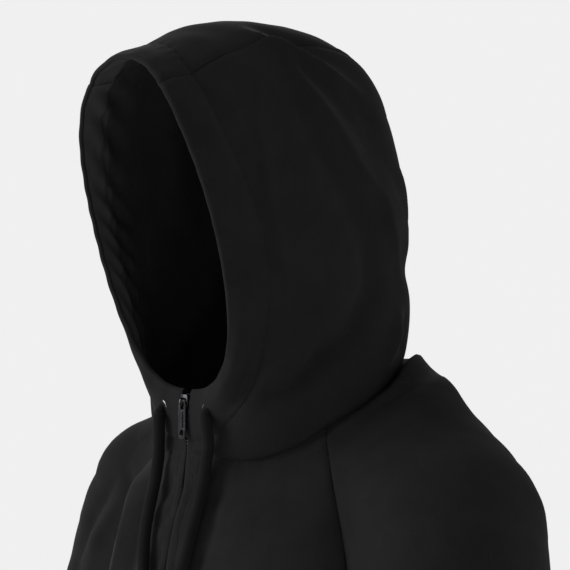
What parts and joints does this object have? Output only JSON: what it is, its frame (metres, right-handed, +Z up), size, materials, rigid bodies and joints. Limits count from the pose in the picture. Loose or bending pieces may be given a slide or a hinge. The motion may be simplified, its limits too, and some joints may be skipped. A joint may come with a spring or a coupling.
{
  "type": "zip-up hoodie",
  "caption": "Hooded zip-front top with raglan sleeves, ribbed cuffs and hem, drawstring and pull tab on its zip, hollow as worn.",
  "frame": {"origin": "middle of the neck, level with the neck seam at the wearer's side, where the wearer carries the garment", "axes": "+Z up along the garment, -Y out of the front with the zip, +X to the wearer's left"},
  "size_m": [0.6954, 0.3144, 1.001],
  "materials": {
    "fleece": "black cotton fleece, matt with a soft nap",
    "rib_knit": "black rib knit",
    "zip_tape": "black woven tape",
    "cord": "black round knitted cord",
    "dark_metal": "gunmetal"
  },
  "bodies": {
    "hoodie": {"front_left": "fleece", "front_right": "fleece", "back": "fleece", "sleeve_left": "fleece", "sleeve_right": "fleece", "hood_side_left": "fleece", "hood_side_right": "fleece", "hood_centre": "fleece", "cuff_left": "rib_knit", "cuff_right": "rib_knit", "hem_band": "rib_knit", "zip_tape_left": "zip_tape", "zip_tape_right": "zip_tape", "zip_slider": "dark_metal", "eyelet_left": "dark_metal", "eyelet_right": "dark_metal", "drawstring_left": "cord", "drawstring_right": "cord", "knot_left": "cord", "knot_right": "cord"},
    "pull": {"pull_tab": "dark_metal"}
  },
  "joints": [
    {"name": "pull_tab_hinge", "type": "hinge", "parent": "hoodie", "child": "pull", "pos_m": [0, -0.0996, 0.0055], "axis": [-1, 0, 0], "range_deg": [0, 165]}
  ]
}
